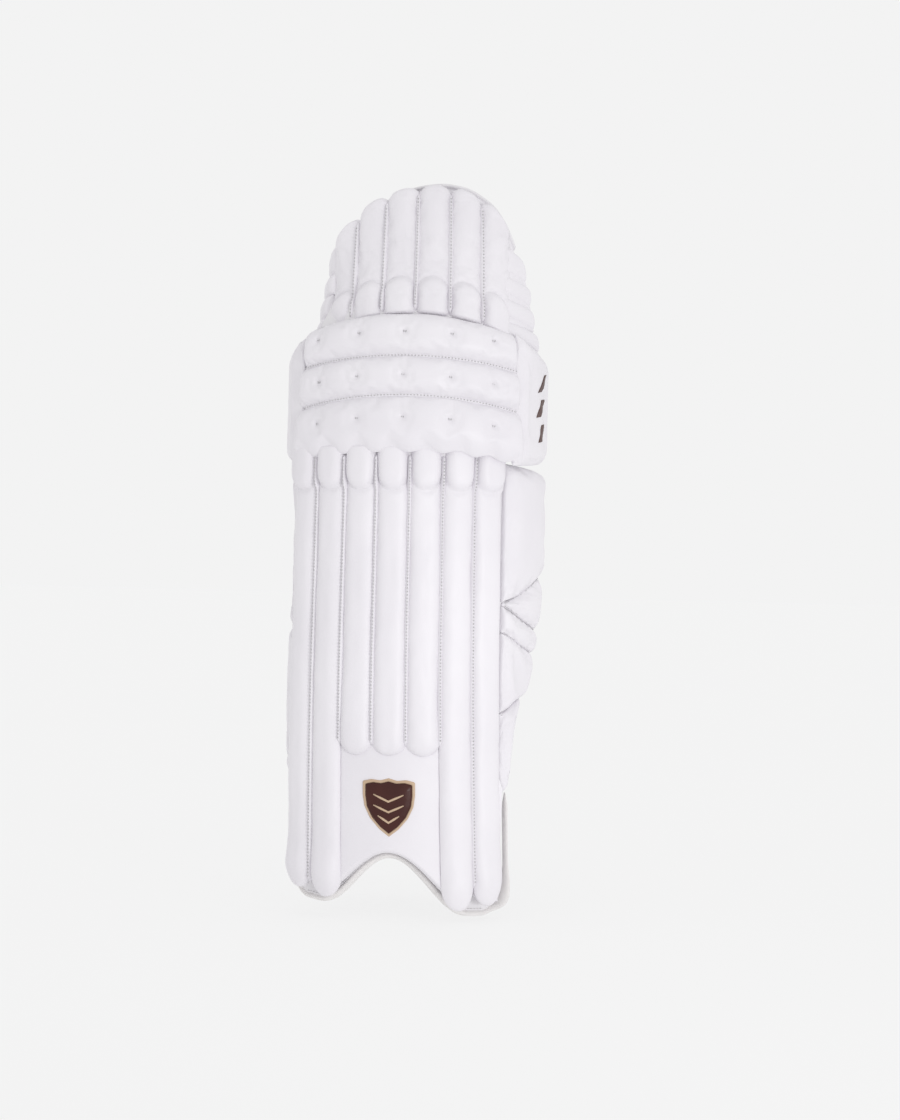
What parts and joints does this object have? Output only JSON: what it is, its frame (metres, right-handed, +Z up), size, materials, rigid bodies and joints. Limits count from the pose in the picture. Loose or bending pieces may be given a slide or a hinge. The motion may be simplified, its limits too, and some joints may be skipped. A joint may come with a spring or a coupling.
{
  "type": "cricket leg pad",
  "caption": "Upright padded shin and knee guard for cricket: vertical cane rolls, banded knee rolls, domed top section, calf wings and hook-and-loop straps.",
  "frame": {"origin": "on the leg's axis, level with the ground under the pad: 3 mm below the lowest edge of the shin section", "axes": "+Z up the shin, -Y out of the striking face, +X towards the side of the large outer wing"},
  "size_m": [0.2714, 0.2062, 0.6955],
  "materials": {
    "face": "white coated synthetic leather, satin, fine grain",
    "board": "matt covered felt board",
    "lining": "matt knitted lining over soft foam",
    "binding": "matt folded tape",
    "webbing": "matt woven webbing",
    "hook_tape": "matt hooked tape",
    "loop_tape": "matt brushed loop tape",
    "cane": "split cane, bare",
    "badge": "satin brown synthetic leather",
    "badge_trim": "satin tan synthetic leather",
    "stripe": "satin brown print on synthetic leather",
    "thread": "matt twisted thread"
  },
  "bodies": {
    "shin": {"ankle_loop_tape": "loop_tape", "ankle_tab": "webbing", "emblem_badge": "badge", "inner_bolster_left": "lining", "inner_bolster_right": "lining", "instep_binding": "binding", "instep_panel": "face", "shin_board": "board", "shin_canes": "cane", "shin_lining": "lining", "shin_roll_1": "face", "shin_roll_2": "face", "shin_roll_3": "face", "shin_roll_4": "face", "shin_roll_5": "face", "shin_roll_6": "face", "shin_roll_7": "face"},
    "outer_wing": {"calf_loop_tape": "loop_tape", "calf_tab": "webbing", "outer_wing_band": "face", "outer_wing_lining": "lining", "outer_wing_lower": "face", "outer_wing_tail": "face", "outer_wing_upper": "face", "outer_wing_wedge": "face"},
    "inner_wing": {"inner_wing_lining": "lining", "inner_wing_lower": "face", "inner_wing_upper": "face"},
    "knee": {"knee_board": "board", "knee_cup_lower": "lining", "knee_cup_upper": "lining", "knee_lining": "lining", "knee_loop_tape": "loop_tape", "knee_roll_bottom": "face", "knee_roll_middle": "face", "knee_roll_top": "face", "knee_side_inner": "face", "knee_side_inner_lining": "lining", "knee_side_outer": "face", "knee_side_outer_lining": "lining", "knee_tab": "webbing"},
    "hat": {"hat_board": "board", "hat_canes": "cane", "hat_lining": "lining", "hat_roll_1": "face", "hat_roll_2": "face", "hat_roll_3": "face", "hat_roll_4": "face", "hat_roll_5": "face", "hat_roll_6": "face", "hat_side_lining_inner": "lining", "hat_side_lining_outer": "lining", "hat_side_rolls_inner": "face", "hat_side_rolls_outer": "face"},
    "ankle_strap": {"ankle_hook_tape": "hook_tape", "ankle_strap": "webbing"},
    "calf_strap": {"calf_hook_tape": "hook_tape", "calf_strap": "webbing"},
    "knee_strap": {"knee_hook_tape": "hook_tape", "knee_strap": "webbing"}
  },
  "joints": [
    {"name": "knee_flex", "type": "hinge", "parent": "shin", "child": "knee", "pos_m": [0, 0.01, 0.441], "axis": [-1, 0, 0], "range_deg": [0, 8], "stiffness_Nm_per_rad": 1.5},
    {"name": "hat_flex", "type": "hinge", "parent": "knee", "child": "hat", "pos_m": [0, 0, 0.577], "axis": [-1, 0, 0], "range_deg": [0, 12], "stiffness_Nm_per_rad": 0.6},
    {"name": "outer_wing_fold", "type": "hinge", "parent": "shin", "child": "outer_wing", "pos_m": [0.0945, -0.002, 0.27], "axis": [0, 0, 1], "range_deg": [0, 12]},
    {"name": "inner_wing_fold", "type": "hinge", "parent": "shin", "child": "inner_wing", "pos_m": [-0.0945, -0.002, 0.28], "axis": [0, 0, 1], "range_deg": [0, 20]},
    {"name": "ankle_strap_open", "type": "hinge", "parent": "shin", "child": "ankle_strap", "pos_m": [-0.093, 0.012, 0.077], "axis": [0, 0, 1], "range_deg": [0, 85]},
    {"name": "calf_strap_open", "type": "hinge", "parent": "inner_wing", "child": "calf_strap", "pos_m": [-0.098, 0.071, 0.311], "axis": [0, 0, 1], "range_deg": [0, 85]},
    {"name": "knee_strap_open", "type": "hinge", "parent": "knee", "child": "knee_strap", "pos_m": [-0.096, 0.064, 0.503], "axis": [0, 0, 1], "range_deg": [0, 85]}
  ]
}
